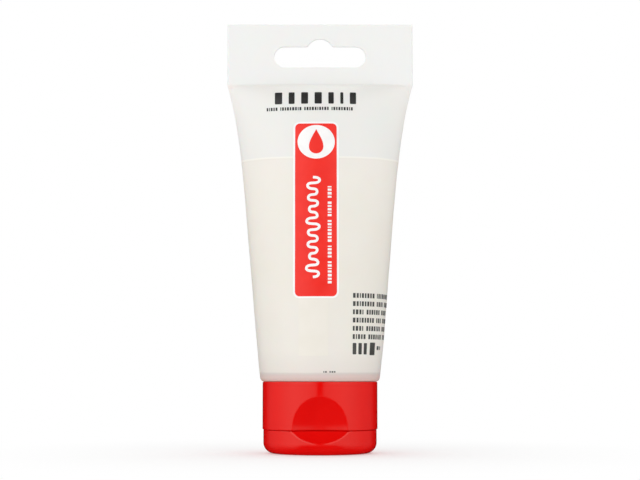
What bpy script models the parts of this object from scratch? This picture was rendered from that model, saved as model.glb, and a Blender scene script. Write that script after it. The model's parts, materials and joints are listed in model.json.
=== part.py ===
"""A squeeze tube of paint that stands on its screw-on flip-top cap.

Metres, +Z up. The origin is on the surface that the tube stands on, under the middle of the cap.
The printed side faces -Y and the lid's hinge is at the back, +Y.
From the top down: the flat sealed tail with its hang slot, the sleeve full of paint, the shoulder
and threaded neck, the sealing washer, the screw cap, and the lid that closes the cap's spout.
"""

import math

import bmesh
import bpy
from mathutils import Vector

MM = 0.001

# Driving dimensions of the sleeve.
SLEEVE_RADIUS = 20.0 * MM
SLEEVE_WALL = 0.5 * MM
LIP_Z = 24.0 * MM  # underside of the sleeve's rolled lower end
LIP_ROUND = 1.6 * MM
LIP_INNER_RADIUS = 17.4 * MM
CREASE_Z = 123.7 * MM  # the sleeve is pressed flat from here up
TOP_Z = 144.4 * MM
PAINT_LEVEL_Z = 97.2 * MM

# Driving dimensions of the cap.
PARTING_Z = 7.85 * MM  # between the screw cap and its lid
CAP_TOP_Z = 23.7 * MM
CAP_RADIUS = 19.1 * MM
LID_RADIUS = 18.8 * MM
LID_ROUND = 3.6 * MM
CAP_WALL = 1.3 * MM
DECK_THICKNESS = 1.5 * MM

# Gaps and threads.
GAP = 0.3 * MM
THREAD_PITCH = 3.0 * MM
THREAD_TURNS = 2.6
THREAD_ROOT_WIDTH = 1.4 * MM
THREAD_CREST_WIDTH = 0.7 * MM
THREAD_DEPTH = 1.1 * MM
THREAD_START_Z = 13.0 * MM
NECK_RADIUS = 6.8 * MM
NECK_END_Z = 11.3 * MM
SOCKET_RADIUS = NECK_RADIUS + THREAD_DEPTH + 0.4 * MM
SOCKET_WALL = 1.6 * MM
SOCKET_TOP_Z = 21.8 * MM
ORIFICE_RADIUS = 3.0 * MM
ORIFICE_LENGTH = 1.0 * MM
ORIFICE_TAPER = 0.8 * MM  # height over which the orifice widens to the neck's bore
NECK_BORE_RADIUS = 4.5 * MM
NECK_CHAMFER = 0.4 * MM
NECK_ROOT_Z = 22.0 * MM
NECK_FLARE = (0.6 * MM, 0.4 * MM)  # outwards and upwards, where the neck meets the shoulder

# Shoulder of the tube, inside the sleeve's lower end.
FLANGE_RADIUS = 18.9 * MM
FLANGE_WALL = 1.0 * MM
FLANGE_TOP_Z = 27.5 * MM
FLANGE_CHAMFER = 0.5 * MM
FLANGE_FLOOR_Z = 26.3 * MM  # the shoulder's inside at its flange
SHOULDER_EDGE_RADIUS = 16.4 * MM  # where its inside gets steeper
SHOULDER_EDGE_Z = 25.5 * MM
BORE_TOP_Z = 23.4 * MM  # where its inside reaches the neck's bore

# Sealing washer.
LINER_RADIUS = 7.6 * MM
LINER_EDGE = 0.2 * MM

# Hang slot through the tail: a round-ended slot with a bump in the middle of its top edge.
SLOT_WIDTH = 31.0 * MM
SLOT_HEIGHT = 7.1 * MM
SLOT_BOTTOM_Z = 129.65 * MM
BUMP_RADIUS = 4.7 * MM
BUMP_TOP_Z = 139.4 * MM

# Spout, pin and step of the cap's underside.
SPOUT_BORE_RADIUS = 2.1 * MM
SPOUT_TIP_Z = 4.0 * MM
SPOUT_TIP_WALL = 1.2 * MM
SPOUT_FOOT_WALL = 2.4 * MM
STEP_RADIUS = 13.0 * MM
STEP_HEIGHT = 0.8 * MM
PIN_TIP_Z = 6.0 * MM
PIN_RADIUS = 1.8 * MM
PIN_CHAMFER = (0.4 * MM, 0.6 * MM)  # inwards and downwards
CAP_RIM_ROUND = 0.5 * MM

# Thumb scoops in the front of the cap and of the lid, each cut by an ellipsoid: half width on the
# parting plane, height on the middle line, greatest depth, and the ellipsoid's middle above that plane.
CAP_SCOOP = (9.05 * MM, 10.8 * MM, 3.6 * MM, 0.0)
LID_SCOOP = (9.66 * MM, 4.15 * MM, 2.8 * MM, 12.0 * MM)
SCOOP_REACH = 24.0 * MM  # front-to-back semi-axis
CAP_SCOOP_SEGMENTS = (96, 48)  # of the whole ellipsoid, round and from pole to pole
LID_SCOOP_SEGMENTS = (360, 60)

# Snap hinge: two films on the axis, and a strap between them that passes over centre.
HINGE_FLAT_Y = 17.3 * MM
HINGE_AXIS_Y = 17.5 * MM
FILM_THICKNESS = 0.4 * MM
FILM_HEIGHT = 1.2 * MM
FILM_INNER_X = 4.7 * MM
FILM_OUTER_X = 7.1 * MM
FILM_EDGE = 0.12 * MM
NOTCH_CLEARANCE = 0.7 * MM  # beside each film, where the hinge's notch ends
STRAP_HALF_WIDTH = 3.9 * MM
STRAP_THICKNESS = 0.6 * MM
STRAP_EDGE = 0.15 * MM
STRAP_RADIUS = 2.6 * MM  # from the hinge axis to each end of the strap
STRAP_ANGLE = math.radians(60)  # of each end above or below the parting plane
REAR_WALL_INNER_Y = 15.6 * MM
RECESS_ABOVE = 5.5 * MM  # the hinge's flat recess, above and below the parting plane
RECESS_BELOW = 4.4 * MM

SEGMENTS = 48
THREAD_STEPS_PER_TURN = 32
SLEEVE_RINGS = 12
SHARP_ANGLE = math.radians(35)
JOINT_MARK_SIZE = 5 * MM

FULL_TURN = 2 * math.pi
SLEEVE_GIRTH = FULL_TURN * SLEEVE_RADIUS
TAIL_HALF_WIDTH = SLEEVE_GIRTH / 4
TAIL_HALF_THICKNESS = SLEEVE_WALL
CAP_BOTTOM_Z = PARTING_Z + GAP / 2
LID_TOP_Z = PARTING_Z - GAP / 2
DECK_TOP_Z = CAP_BOTTOM_Z + DECK_THICKNESS
BEYOND = 3.0 * MM  # how far a cutter runs past what it cuts

WHITE_FILM = (0.88, 0.88, 0.86, 1.0)
NATURAL_PLASTIC = (0.82, 0.80, 0.76, 1.0)
BUFF_PAINT = (0.83, 0.80, 0.73, 1.0)
FOAM_WHITE = (0.90, 0.90, 0.88, 1.0)
CAP_RED = (0.80, 0.03, 0.02, 1.0)


def clear_scene():
    """Start from nothing."""
    for thing in list(bpy.data.objects):
        bpy.data.objects.remove(thing, do_unlink=True)


def new_collection(name):
    """A collection in the scene."""
    made = bpy.data.collections.new(name)
    bpy.context.scene.collection.children.link(made)
    return made


def new_material(name, colour, roughness):
    """A plain plastic, foam or paint."""
    made = bpy.data.materials.new(name)
    made.use_nodes = True
    shader = made.node_tree.nodes["Principled BSDF"]
    shader.inputs["Base Color"].default_value = colour
    shader.inputs["Roughness"].default_value = roughness
    shader.inputs["Metallic"].default_value = 0.0
    made.diffuse_color = colour
    return made


def new_object(name, mesh, collection, material=None):
    """An object in a collection, with its material."""
    made = bpy.data.objects.new(name, mesh)
    collection.objects.link(made)
    if material:
        mesh.materials.append(material)
    return made


def as_cutter(thing):
    """Show a shape as a wire only, for it isn't a part."""
    thing.hide_render = True
    thing.display_type = "WIRE"
    return thing


def cut(part, cutter, operation="DIFFERENCE"):
    """Cut a part with a cutter, or join the two."""
    boolean = part.modifiers.new(cutter.name, "BOOLEAN")
    boolean.object = cutter
    boolean.operation = operation


def arc(centre_r, centre_z, radius, start, end, steps):
    """Points of an arc in the (r, z) plane, from one angle in degrees to another."""
    points = []
    for step in range(steps + 1):
        angle = math.radians(start + (end - start) * step / steps)
        points.append((centre_r + radius * math.cos(angle), centre_z + radius * math.sin(angle)))
    return points


def turned(name, profile, collection, material=None, closed=False, turns=1.0, rise=0.0):
    """A profile of (r, z) points at +X turned round Z. It runs down its outer side."""
    mesh = bpy.data.meshes.new(name)
    edges = [(index, index + 1) for index in range(len(profile) - 1)]
    if closed:
        edges.append((len(profile) - 1, 0))
    mesh.from_pydata([(r, 0.0, z) for r, z in profile], edges, [])
    made = new_object(name, mesh, collection, material)
    screw = made.modifiers.new("Turn", "SCREW")
    screw.axis = "Z"
    screw.angle = FULL_TURN * turns
    screw.screw_offset = rise
    screw.steps = SEGMENTS if turns == 1.0 else round(THREAD_STEPS_PER_TURN * turns)
    screw.render_steps = screw.steps
    screw.use_merge_vertices = rise == 0.0
    screw.merge_threshold = 0.00001
    return made


def settled_mesh(thing):
    """The object's mesh with its modifiers' result fixed in it."""
    graph = bpy.context.evaluated_depsgraph_get()
    mesh = bpy.data.meshes.new_from_object(thing.evaluated_get(graph))
    thing.modifiers.clear()
    thing.data = mesh
    return mesh


def thread(name, root_radius, crest_radius, quarter_turns, collection):
    """A right-hand ridge from its root to its crest, with both ends closed."""
    middle = THREAD_START_Z
    root = THREAD_ROOT_WIDTH / 2
    crest = THREAD_CREST_WIDTH / 2
    profile = [
        (root_radius, middle + root),
        (crest_radius, middle + crest),
        (crest_radius, middle - crest),
        (root_radius, middle - root),
    ]
    rise = THREAD_PITCH * THREAD_TURNS
    made = turned(name, profile, collection, closed=True, turns=THREAD_TURNS, rise=rise)
    made.rotation_euler.z = quarter_turns * FULL_TURN / 4
    mesh = settled_mesh(made)
    work = bmesh.new()
    work.from_mesh(mesh)
    bmesh.ops.holes_fill(work, edges=[edge for edge in work.edges if edge.is_boundary], sides=0)
    bmesh.ops.recalc_face_normals(work, faces=work.faces)
    work.to_mesh(mesh)
    work.free()
    return as_cutter(made)


def box(name, low, high, collection, material=None):
    """A box from its lowest to its highest corner, on its own origin."""
    mesh = bpy.data.meshes.new(name)
    work = bmesh.new()
    bmesh.ops.create_cube(work, size=1.0)
    bmesh.ops.scale(work, vec=Vector(high) - Vector(low), verts=work.verts)
    work.to_mesh(mesh)
    work.free()
    made = new_object(name, mesh, collection, material)
    made.location = (Vector(low) + Vector(high)) / 2
    return made


def loft(name, rings, collection, material=None):
    """A closed solid through rings that hold the same number of points, lowest ring first."""
    work = bmesh.new()
    layers = [[work.verts.new(point) for point in ring] for ring in rings]
    count = len(layers[0])
    work.faces.new(layers[0][::-1])
    for lower, upper in zip(layers, layers[1:]):
        for index in range(count):
            following = (index + 1) % count
            work.faces.new((lower[index], lower[following], upper[following], upper[index]))
    work.faces.new(layers[-1])
    mesh = bpy.data.meshes.new(name)
    work.to_mesh(mesh)
    work.free()
    return new_object(name, mesh, collection, material)


def round_ring(radius, z):
    """A circle of the loft."""
    angles = [FULL_TURN * step / SEGMENTS for step in range(SEGMENTS)]
    return [(radius * math.cos(angle), radius * math.sin(angle), z) for angle in angles]


def pressed_ring(half_width, half_depth, crease, z):
    """A flattened ring. Crease 1 is an ellipse, and more draws its two sides out to edges."""
    ring = []
    for step in range(SEGMENTS):
        angle = FULL_TURN * step / SEGMENTS
        depth = half_depth * abs(math.sin(angle)) ** crease
        ring.append((half_width * math.cos(angle), math.copysign(depth, math.sin(angle)), z))
    return ring


def flat_ring(z):
    """The sealed tail: two flat faces that meet at a pinched edge on each side."""
    ring = []
    for x, y, _ in pressed_ring(TAIL_HALF_WIDTH, 1.0, 1.0, z):
        face = abs(x) < TAIL_HALF_WIDTH * math.cos(FULL_TURN / SEGMENTS / 2)
        ring.append((x, math.copysign(TAIL_HALF_THICKNESS, y) if face else 0.0, z))
    return ring


def girth(ring):
    """The way round a ring."""
    corners = [Vector(point) for point in ring]
    return sum((corner - corners[index - 1]).length for index, corner in enumerate(corners))


def sleeve_section(z):
    """Half width, half depth and crease of the sleeve at a height.

    The film doesn't stretch, so the girth stays that of the round end while the width grows from
    the diameter to half the girth. The depth that keeps it is found by halving an interval.
    """
    start = LIP_Z + LIP_ROUND
    rise = max(0.0, (z - start) / (CREASE_Z - start))
    spread = 0.69 * rise**0.9 + 0.31 * rise**6
    half_width = SLEEVE_RADIUS + (TAIL_HALF_WIDTH - SLEEVE_RADIUS) * spread
    crease = 1.0 + 0.6 * rise**4
    low, high = TAIL_HALF_THICKNESS, SLEEVE_RADIUS
    for _ in range(30):
        middle = (low + high) / 2
        if girth(pressed_ring(half_width, middle, crease, 0.0)) > SLEEVE_GIRTH:
            high = middle
        else:
            low = middle
    return half_width, high, crease


def sleeve_ring(z, inset=0.0):
    """The sleeve's section at a height, drawn in evenly so that its wall is nowhere under the inset."""
    half_width, half_depth, crease = sleeve_section(z)
    scale = (half_depth - inset) / half_depth
    return pressed_ring(half_width * scale, half_depth * scale, crease, z)


def sleeve_heights(top):
    """Heights of the sleeve's rings, closer together towards the tail, up to a top height."""
    start = LIP_Z + LIP_ROUND
    for index in range(SLEEVE_RINGS + 1):
        z = start + (CREASE_Z - start) * math.sin(math.pi / 2 * index / SLEEVE_RINGS)
        if z < top:
            yield z


def slot_outline():
    """The hang slot's outline in the (x, z) plane: a bump, then the round left and right ends."""
    radius = SLOT_HEIGHT / 2
    middle_z = SLOT_BOTTOM_Z + radius
    end_x = SLOT_WIDTH / 2 - radius
    bump_z = BUMP_TOP_Z - BUMP_RADIUS
    lean = math.degrees(math.asin((middle_z + radius - bump_z) / BUMP_RADIUS))
    outline = arc(0.0, bump_z, BUMP_RADIUS, lean, 180 - lean, 10)
    outline += arc(-end_x, middle_z, radius, 90, 270, 8)
    outline += arc(end_x, middle_z, radius, -90, 90, 8)
    return outline


def slot_cutter(collection):
    """The hang slot as a flat curve, thick enough to pass through the tail."""
    curve = bpy.data.curves.new("hang_slot_outline", "CURVE")
    curve.dimensions = "2D"
    curve.fill_mode = "BOTH"
    curve.extrude = BEYOND
    outline = slot_outline()
    spline = curve.splines.new("POLY")
    spline.points.add(len(outline) - 1)
    for point, (x, z) in zip(spline.points, outline):
        point.co = (x, z, 0.0, 1.0)
    spline.use_cyclic_u = True
    flat = bpy.data.objects.new("hang_slot_outline", curve)
    flat.rotation_euler.x = math.pi / 2
    collection.objects.link(flat)
    bpy.context.view_layer.update()
    graph = bpy.context.evaluated_depsgraph_get()
    mesh = bpy.data.meshes.new_from_object(flat.evaluated_get(graph))
    work = bmesh.new()
    work.from_mesh(mesh)
    bmesh.ops.remove_doubles(work, verts=work.verts, dist=0.01 * MM)
    bmesh.ops.recalc_face_normals(work, faces=work.faces)
    work.to_mesh(mesh)
    work.free()
    made = new_object("hang_slot", mesh, collection)
    made.matrix_world = flat.matrix_world
    bpy.data.objects.remove(flat, do_unlink=True)
    return as_cutter(made)


def make_sleeve(parts, cutters, material):
    """The printed film sleeve, open below, its upper end pressed flat and sealed."""
    lip = arc(SLEEVE_RADIUS - LIP_ROUND, LIP_Z + LIP_ROUND, LIP_ROUND, -90, 0, 3)
    rings = [round_ring(r, z) for r, z in lip[:-1]]
    rings += [sleeve_ring(z) for z in sleeve_heights(CREASE_Z - GAP)]
    rings += [flat_ring(CREASE_Z), flat_ring(TOP_Z)]
    sleeve = loft("tube_sleeve", rings, parts, material)

    inner_round = LIP_ROUND - SLEEVE_WALL
    inner_lip = arc(SLEEVE_RADIUS - LIP_ROUND, LIP_Z + LIP_ROUND, inner_round, -90, 0, 3)
    rings = [round_ring(LIP_INNER_RADIUS, z) for z in (LIP_Z - BEYOND, LIP_Z + SLEEVE_WALL)]
    rings += [round_ring(r, z) for r, z in inner_lip[:-1]]
    rings += [sleeve_ring(z, SLEEVE_WALL) for z in sleeve_heights(CREASE_Z - BEYOND / 2)]
    hollow = as_cutter(loft("sleeve_hollow", rings, cutters))
    cut(sleeve, hollow)
    cut(sleeve, slot_cutter(cutters))
    return sleeve


def make_head(parts, cutters, material):
    """The stiff shoulder and threaded neck that the sleeve is welded to."""
    lip_top_z = LIP_Z + SLEEVE_WALL
    hole = LIP_INNER_RADIUS - GAP
    flare_r, flare_z = NECK_FLARE
    profile = [
        (FLANGE_RADIUS, FLANGE_TOP_Z),
        (FLANGE_RADIUS, lip_top_z + GAP + FLANGE_CHAMFER),
        (FLANGE_RADIUS - FLANGE_CHAMFER, lip_top_z + GAP),
        (hole, lip_top_z + GAP),
        (hole, LIP_Z),
        (NECK_RADIUS + flare_r, NECK_ROOT_Z + flare_z),
        (NECK_RADIUS, NECK_ROOT_Z),
        (NECK_RADIUS, NECK_END_Z + NECK_CHAMFER),
        (NECK_RADIUS - NECK_CHAMFER, NECK_END_Z),
        (ORIFICE_RADIUS, NECK_END_Z),
        (ORIFICE_RADIUS, NECK_END_Z + ORIFICE_LENGTH),
        (NECK_BORE_RADIUS, NECK_END_Z + ORIFICE_LENGTH + ORIFICE_TAPER),
        (NECK_BORE_RADIUS, BORE_TOP_Z),
        (SHOULDER_EDGE_RADIUS, SHOULDER_EDGE_Z),
        (FLANGE_RADIUS - FLANGE_WALL, FLANGE_FLOOR_Z),
        (FLANGE_RADIUS - FLANGE_WALL, FLANGE_TOP_Z),
    ]
    head = turned("tube_head", profile, parts, material, closed=True)
    crest = NECK_RADIUS + THREAD_DEPTH
    cut(head, thread("neck_thread", NECK_RADIUS - GAP, crest, 0, cutters), "UNION")
    return head


def make_paint(parts, material):
    """The paint, from the orifice up through the neck and shoulder to its level in the sleeve."""
    in_orifice = ORIFICE_RADIUS - GAP
    in_bore = NECK_BORE_RADIUS - GAP
    in_flange = FLANGE_RADIUS - FLANGE_WALL - GAP
    taper_z = NECK_END_Z + ORIFICE_LENGTH + GAP / 2
    rings = [
        round_ring(in_orifice, NECK_END_Z + GAP),
        round_ring(in_orifice, taper_z),
        round_ring(in_bore, taper_z + ORIFICE_TAPER),
        round_ring(in_bore, BORE_TOP_Z + GAP),
        round_ring(SHOULDER_EDGE_RADIUS, SHOULDER_EDGE_Z + 1.2 * GAP),
        round_ring(in_flange, FLANGE_FLOOR_Z + GAP),
        round_ring(in_flange, FLANGE_TOP_Z + GAP),
    ]
    inset = SLEEVE_WALL + GAP
    first_z = FLANGE_TOP_Z + 2 * GAP
    rings += [sleeve_ring(z, inset) for z in sleeve_heights(PAINT_LEVEL_Z) if z > first_z]
    rings.append(sleeve_ring(PAINT_LEVEL_Z, inset))
    return loft("paint_fill", rings, parts, material)


def make_liner(parts, material):
    """The foam washer that the neck's end is pressed against."""
    top_z = NECK_END_Z - GAP
    bottom_z = DECK_TOP_Z + GAP
    inner_radius = ORIFICE_RADIUS + GAP
    profile = [
        (LINER_RADIUS - LINER_EDGE, top_z),
        (LINER_RADIUS, top_z - LINER_EDGE),
        (LINER_RADIUS, bottom_z + LINER_EDGE),
        (LINER_RADIUS - LINER_EDGE, bottom_z),
        (inner_radius, bottom_z),
        (inner_radius, top_z),
    ]
    return turned("cap_liner", profile, parts, material, closed=True)


def scoop(name, radius, shape, segments, grown, cutters):
    """An ellipsoid that cuts a thumb scoop of a given shape into a round wall.

    Its upright and its sideways semi-axis come from where its surface must meet the wall: at the
    height on the middle line, and at the half width on the parting plane. Grown, it leaves the
    wall behind it.
    """
    half_width, height, depth, rise = shape
    share = depth / SCOOP_REACH
    spread = (rise + height) ** 2 - rise**2
    slope = 2 * share**2 * (spread + 2 * rise**2)
    root = math.sqrt(slope**2 + 4 * spread**2 * share**2 * (4 - share**2))
    half_z = spread * math.sqrt(2 / (root - slope))
    lean = math.sqrt(1 - (rise / half_z) ** 2)
    centre = radius - depth + SCOOP_REACH * lean
    side = (centre - math.sqrt(radius**2 - half_width**2)) / SCOOP_REACH
    half_x = half_width / math.sqrt(lean**2 - side**2)
    mesh = bpy.data.meshes.new(name)
    work = bmesh.new()
    around, upwards = segments
    bmesh.ops.create_uvsphere(work, u_segments=around, v_segments=upwards, radius=1.0)
    axes = Vector((half_x + grown, SCOOP_REACH + grown, half_z + grown))
    bmesh.ops.scale(work, vec=axes, verts=work.verts)
    work.to_mesh(mesh)
    work.free()
    made = new_object(name, mesh, cutters)
    made.location = (0.0, -centre, PARTING_Z + rise)
    return as_cutter(made)


def hinge_cutters(cutters):
    """The flat recess at the back, the notch round the films and the window that the strap works in."""
    notch = FILM_HEIGHT / 2 + GAP
    window = STRAP_RADIUS * math.sin(STRAP_ANGLE) + GAP
    notch_x = FILM_OUTER_X + NOTCH_CLEARANCE
    window_x = STRAP_HALF_WIDTH + GAP
    notch_y = HINGE_AXIS_Y - notch
    window_y = REAR_WALL_INNER_Y - 2 * GAP
    sizes = {
        "hinge_flat": (CAP_RADIUS, HINGE_FLAT_Y, RECESS_BELOW, RECESS_ABOVE),
        "film_notch": (notch_x, notch_y, notch, notch),
        "strap_window": (window_x, window_y, window, window),
    }
    made = []
    for name, (half_width, front_y, below, above) in sizes.items():
        low = (-half_width, front_y, PARTING_Z - below)
        high = (half_width, CAP_RADIUS + BEYOND, PARTING_Z + above)
        made.append(as_cutter(box(name, low, high, cutters)))
    return made


def rear_wall(cutters):
    """What the hollows leave behind the hinge's recess, up from the lid's floor."""
    low = (-CAP_RADIUS, REAR_WALL_INNER_Y, 0.0)
    high = (CAP_RADIUS, CAP_RADIUS + BEYOND, PARTING_Z + RECESS_ABOVE + CAP_WALL)
    return as_cutter(box("rear_wall", low, high, cutters))


def make_cap(parts, cutters, material, wall, rear):
    """The screw cap: outer skirt, deck, threaded socket for the neck, and spout."""
    step_z = CAP_BOTTOM_Z - STEP_HEIGHT
    rim_z = CAP_TOP_Z - CAP_RIM_ROUND
    profile = [(0.0, CAP_TOP_Z)]
    profile += arc(CAP_RADIUS - CAP_RIM_ROUND, rim_z, CAP_RIM_ROUND, 90, 0, 3)
    profile += [
        (CAP_RADIUS, CAP_BOTTOM_Z),
        (STEP_RADIUS, CAP_BOTTOM_Z),
        (STEP_RADIUS, step_z),
        (SPOUT_BORE_RADIUS + SPOUT_FOOT_WALL, step_z),
        (SPOUT_BORE_RADIUS + SPOUT_TIP_WALL, SPOUT_TIP_Z),
        (0.0, SPOUT_TIP_Z),
    ]
    cap = turned("cap_base", profile, parts, material)

    open_z = CAP_TOP_Z + BEYOND
    bore = [
        (0.0, open_z),
        (SOCKET_RADIUS, open_z),
        (SOCKET_RADIUS, DECK_TOP_Z),
        (SPOUT_BORE_RADIUS, DECK_TOP_Z),
        (SPOUT_BORE_RADIUS, SPOUT_TIP_Z - BEYOND),
        (0.0, SPOUT_TIP_Z - BEYOND),
    ]
    cut(cap, as_cutter(turned("socket_bore", bore, cutters)))

    socket_outer = SOCKET_RADIUS + SOCKET_WALL
    skirt_inner = CAP_RADIUS - CAP_WALL
    space = [
        (skirt_inner, open_z),
        (skirt_inner, DECK_TOP_Z),
        (socket_outer, DECK_TOP_Z),
        (socket_outer, SOCKET_TOP_Z),
        (SOCKET_RADIUS - GAP, SOCKET_TOP_Z),
        (SOCKET_RADIUS - GAP, open_z),
    ]
    hollow = as_cutter(turned("cap_hollow", space, cutters, closed=True))
    shape = (CAP_RADIUS, CAP_SCOOP, CAP_SCOOP_SEGMENTS)
    cut(hollow, scoop("cap_scoop_wall", *shape, CAP_WALL, cutters))
    cut(hollow, wall)
    cut(cap, hollow)
    cut(cap, scoop("cap_scoop", *shape, 0.0, cutters))
    for cutter in rear:
        cut(cap, cutter)
    crest = SOCKET_RADIUS - THREAD_DEPTH
    cut(cap, thread("cap_thread", SOCKET_RADIUS + GAP, crest, 2, cutters), "UNION")
    return cap


def make_lid(parts, cutters, material, wall, rear):
    """The flip-top lid that the tube stands on, with the pin that plugs the spout."""
    profile = [(0.0, LID_TOP_Z), (LID_RADIUS, LID_TOP_Z)]
    profile += arc(LID_RADIUS - LID_ROUND, LID_ROUND, LID_ROUND, 0, -90, 6)
    profile.append((0.0, 0.0))
    lid = turned("cap_lid", profile, parts, material)

    inner_radius = LID_RADIUS - CAP_WALL
    inner_round = LID_ROUND - CAP_WALL
    chamfer_r, chamfer_z = PIN_CHAMFER
    space = [(0.0, LID_TOP_Z + BEYOND), (inner_radius, LID_TOP_Z + BEYOND)]
    space += arc(LID_RADIUS - LID_ROUND, LID_ROUND, inner_round, 0, -90, 4)
    space += [
        (PIN_RADIUS, CAP_WALL),
        (PIN_RADIUS, PIN_TIP_Z - chamfer_z),
        (PIN_RADIUS - chamfer_r, PIN_TIP_Z),
        (0.0, PIN_TIP_Z),
    ]
    hollow = as_cutter(turned("lid_hollow", space, cutters))
    shape = (LID_RADIUS, LID_SCOOP, LID_SCOOP_SEGMENTS)
    cut(hollow, scoop("lid_scoop_wall", *shape, CAP_WALL, cutters))
    cut(hollow, wall)
    cut(lid, hollow)
    cut(lid, scoop("lid_scoop", *shape, 0.0, cutters))
    for cutter in rear:
        cut(lid, cutter)
    return lid


def soften(part, width):
    """Round a small moulded bar's edges."""
    bevel = part.modifiers.new("Round", "BEVEL")
    bevel.width = width
    bevel.segments = 2


def make_films(parts, material):
    """The two thin films that the lid turns on, centred on the hinge's axis."""
    half_depth = FILM_THICKNESS / 2
    half_height = FILM_HEIGHT / 2
    films = []
    for name, low_x, high_x in (
        ("hinge_film_left", -FILM_OUTER_X, -FILM_INNER_X),
        ("hinge_film_right", FILM_INNER_X, FILM_OUTER_X),
    ):
        low = (low_x, HINGE_AXIS_Y - half_depth, PARTING_Z - half_height)
        high = (high_x, HINGE_AXIS_Y + half_depth, PARTING_Z + half_height)
        film = box(name, low, high, parts, material)
        soften(film, FILM_EDGE)
        films.append(film)
    return films


def make_strap(parts, material):
    """The strap that pulls the lid shut, and open once its ends have passed the axis."""
    middle_y = HINGE_AXIS_Y - STRAP_RADIUS * math.cos(STRAP_ANGLE)
    half_height = STRAP_RADIUS * math.sin(STRAP_ANGLE)
    low = (-STRAP_HALF_WIDTH, middle_y - STRAP_THICKNESS / 2, PARTING_Z - half_height)
    high = (STRAP_HALF_WIDTH, middle_y + STRAP_THICKNESS / 2, PARTING_Z + half_height)
    strap = box("snap_strap", low, high, parts, material)
    soften(strap, STRAP_EDGE)
    return strap


def hang_on(name, location, children, collection):
    """An empty at a joint, which carries the pieces that move about it."""
    joint = bpy.data.objects.new(name, None)
    joint.location = location
    joint.empty_display_size = JOINT_MARK_SIZE
    collection.objects.link(joint)
    bpy.context.view_layer.update()
    for child in children:
        child.parent = joint
        child.matrix_parent_inverse = joint.matrix_world.inverted()
    return joint


def finish(part):
    """Fix the part's shape in its mesh, and shade it smooth but for its real corners."""
    mesh = settled_mesh(part)
    mesh.shade_smooth()
    mesh.set_sharp_from_angle(angle=SHARP_ANGLE)


def main():
    """Make every piece, fix its shape, and hang the moving ones on their joints."""
    clear_scene()
    parts = new_collection("paint_tube")
    cutters = new_collection("cutters")
    red = new_material("cap_red", CAP_RED, 0.3)
    white = new_material("sleeve_white", WHITE_FILM, 0.45)
    natural = new_material("head_natural", NATURAL_PLASTIC, 0.4)
    buff = new_material("paint_buff", BUFF_PAINT, 0.5)
    foam = new_material("liner_foam", FOAM_WHITE, 0.8)

    sleeve = make_sleeve(parts, cutters, white)
    head = make_head(parts, cutters, natural)
    paint = make_paint(parts, buff)
    liner = make_liner(parts, foam)
    wall = rear_wall(cutters)
    rear = hinge_cutters(cutters)
    cap = make_cap(parts, cutters, red, wall, rear)
    lid = make_lid(parts, cutters, red, wall, rear)
    films = make_films(parts, red)
    strap = make_strap(parts, red)

    bpy.context.view_layer.update()
    for part in (sleeve, head, paint, liner, cap, lid, strap, *films):
        finish(part)
    hinge = hang_on("lid_hinge", (0.0, HINGE_AXIS_Y, PARTING_Z), [lid, strap, *films], parts)
    hang_on("cap_axis", (0.0, 0.0, NECK_END_Z), [liner, cap, hinge], parts)


main()
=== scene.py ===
"""Looks of a squeeze tube of artists' paint that stands on its red flip-top cap.

Lengths are in millimetres until they reach Blender, which works in metres. +Z is up, the printed
side faces -Y, and the lid's hinge is at the back. Round pieces are drawn as an outline and spun,
the sleeve is then pressed flat towards its tail, and the print is laid on it ink by ink.
"""

import json
import math

import bpy
import numpy as np
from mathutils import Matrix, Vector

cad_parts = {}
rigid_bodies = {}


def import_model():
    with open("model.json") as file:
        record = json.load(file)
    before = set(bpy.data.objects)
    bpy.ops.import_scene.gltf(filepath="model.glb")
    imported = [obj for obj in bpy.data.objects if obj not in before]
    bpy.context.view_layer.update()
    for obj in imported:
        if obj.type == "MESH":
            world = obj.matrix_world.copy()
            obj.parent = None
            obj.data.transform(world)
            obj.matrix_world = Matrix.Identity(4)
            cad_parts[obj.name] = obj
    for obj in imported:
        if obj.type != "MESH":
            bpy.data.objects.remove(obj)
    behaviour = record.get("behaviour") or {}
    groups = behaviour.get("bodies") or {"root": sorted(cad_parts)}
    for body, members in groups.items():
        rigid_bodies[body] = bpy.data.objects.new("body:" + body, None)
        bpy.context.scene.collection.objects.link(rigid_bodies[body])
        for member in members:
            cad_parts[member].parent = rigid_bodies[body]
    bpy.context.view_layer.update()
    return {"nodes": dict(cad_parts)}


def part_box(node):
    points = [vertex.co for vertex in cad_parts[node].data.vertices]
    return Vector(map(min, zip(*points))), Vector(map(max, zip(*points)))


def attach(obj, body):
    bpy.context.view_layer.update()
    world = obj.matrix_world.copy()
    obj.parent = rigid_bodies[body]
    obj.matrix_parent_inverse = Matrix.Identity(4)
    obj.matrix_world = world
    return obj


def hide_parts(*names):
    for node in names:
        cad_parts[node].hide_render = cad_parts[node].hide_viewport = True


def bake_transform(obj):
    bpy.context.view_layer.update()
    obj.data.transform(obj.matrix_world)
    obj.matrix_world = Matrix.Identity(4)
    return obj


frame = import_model()

MM = 0.001
FULL_TURN = 2 * math.pi
FRONT = -math.pi / 2  # the angle round Z of the printed side's middle


def box_mm(node):
    """A CAD node's lowest and highest corner in millimetres."""
    low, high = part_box(node)
    return low / MM, high / MM


sleeve_low, sleeve_high = box_mm("tube_sleeve")
head_low, head_high = box_mm("tube_head")
cap_low, cap_high = box_mm("cap_base")
_, lid_high = box_mm("cap_lid")
film_low, film_high = box_mm("hinge_film_right")
strap_low, strap_high = box_mm("snap_strap")

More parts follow.
